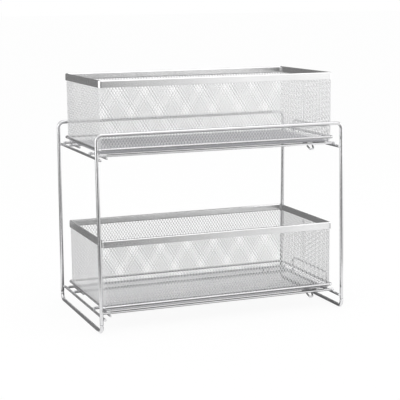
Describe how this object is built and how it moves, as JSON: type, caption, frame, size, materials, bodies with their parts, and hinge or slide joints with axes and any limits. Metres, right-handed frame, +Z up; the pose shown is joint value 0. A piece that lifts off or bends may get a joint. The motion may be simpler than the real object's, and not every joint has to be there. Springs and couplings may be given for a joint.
{
  "type": "sliding basket organizer",
  "caption": "Free-standing bent-wire frame on foot runners with stacked mesh baskets that pull out along rails through its open end.",
  "frame": {"origin": "on the floor under the middle of the frame", "axes": "+X along the slide, with the pull-out end at -X; +Y across it; +Z up"},
  "size_m": [0.4054, 0.2326, 0.3761],
  "materials": {
    "frame_wire": "satin silver",
    "rail_wire": "satin silver",
    "basket_rim": "satin silver",
    "basket_wire": "satin silver",
    "basket_mesh": "fine silver powder coat"
  },
  "bodies": {
    "frame": {"front_hoop": "frame_wire", "rear_hoop": "frame_wire", "left_foot_runner": "frame_wire", "right_foot_runner": "frame_wire", "lower_left_cross_bar": "rail_wire", "lower_right_cross_bar": "rail_wire", "lower_front_rail": "rail_wire", "lower_front_inner_rail": "rail_wire", "lower_rear_inner_rail": "rail_wire", "lower_rear_rail": "rail_wire", "lower_front_stop": "rail_wire", "lower_rear_stop": "rail_wire", "lower_backstop": "rail_wire", "upper_left_cross_bar": "rail_wire", "upper_right_cross_bar": "rail_wire", "upper_front_rail": "rail_wire", "upper_front_inner_rail": "rail_wire", "upper_rear_inner_rail": "rail_wire", "upper_rear_rail": "rail_wire", "upper_front_stop": "rail_wire", "upper_rear_stop": "rail_wire", "upper_backstop": "rail_wire"},
    "lower_basket": {"lower_basket_floor_mesh": "basket_mesh", "lower_basket_front_mesh": "basket_mesh", "lower_basket_rear_mesh": "basket_mesh", "lower_basket_left_mesh": "basket_mesh", "lower_basket_right_mesh": "basket_mesh", "lower_basket_rim": "basket_rim", "lower_basket_base_ring": "basket_wire", "lower_basket_front_catch": "basket_wire", "lower_basket_rear_catch": "basket_wire"},
    "upper_basket": {"upper_basket_floor_mesh": "basket_mesh", "upper_basket_front_mesh": "basket_mesh", "upper_basket_rear_mesh": "basket_mesh", "upper_basket_left_mesh": "basket_mesh", "upper_basket_right_mesh": "basket_mesh", "upper_basket_rim": "basket_rim", "upper_basket_base_ring": "basket_wire", "upper_basket_front_catch": "basket_wire", "upper_basket_rear_catch": "basket_wire"}
  },
  "joints": [
    {"name": "upper_basket_slide", "type": "slide", "parent": "frame", "child": "upper_basket", "axis": [-1, 0, 0], "range_m": [-0.0035, 0.33]},
    {"name": "lower_basket_slide", "type": "slide", "parent": "frame", "child": "lower_basket", "axis": [-1, 0, 0], "range_m": [-0.0035, 0.33]}
  ]
}
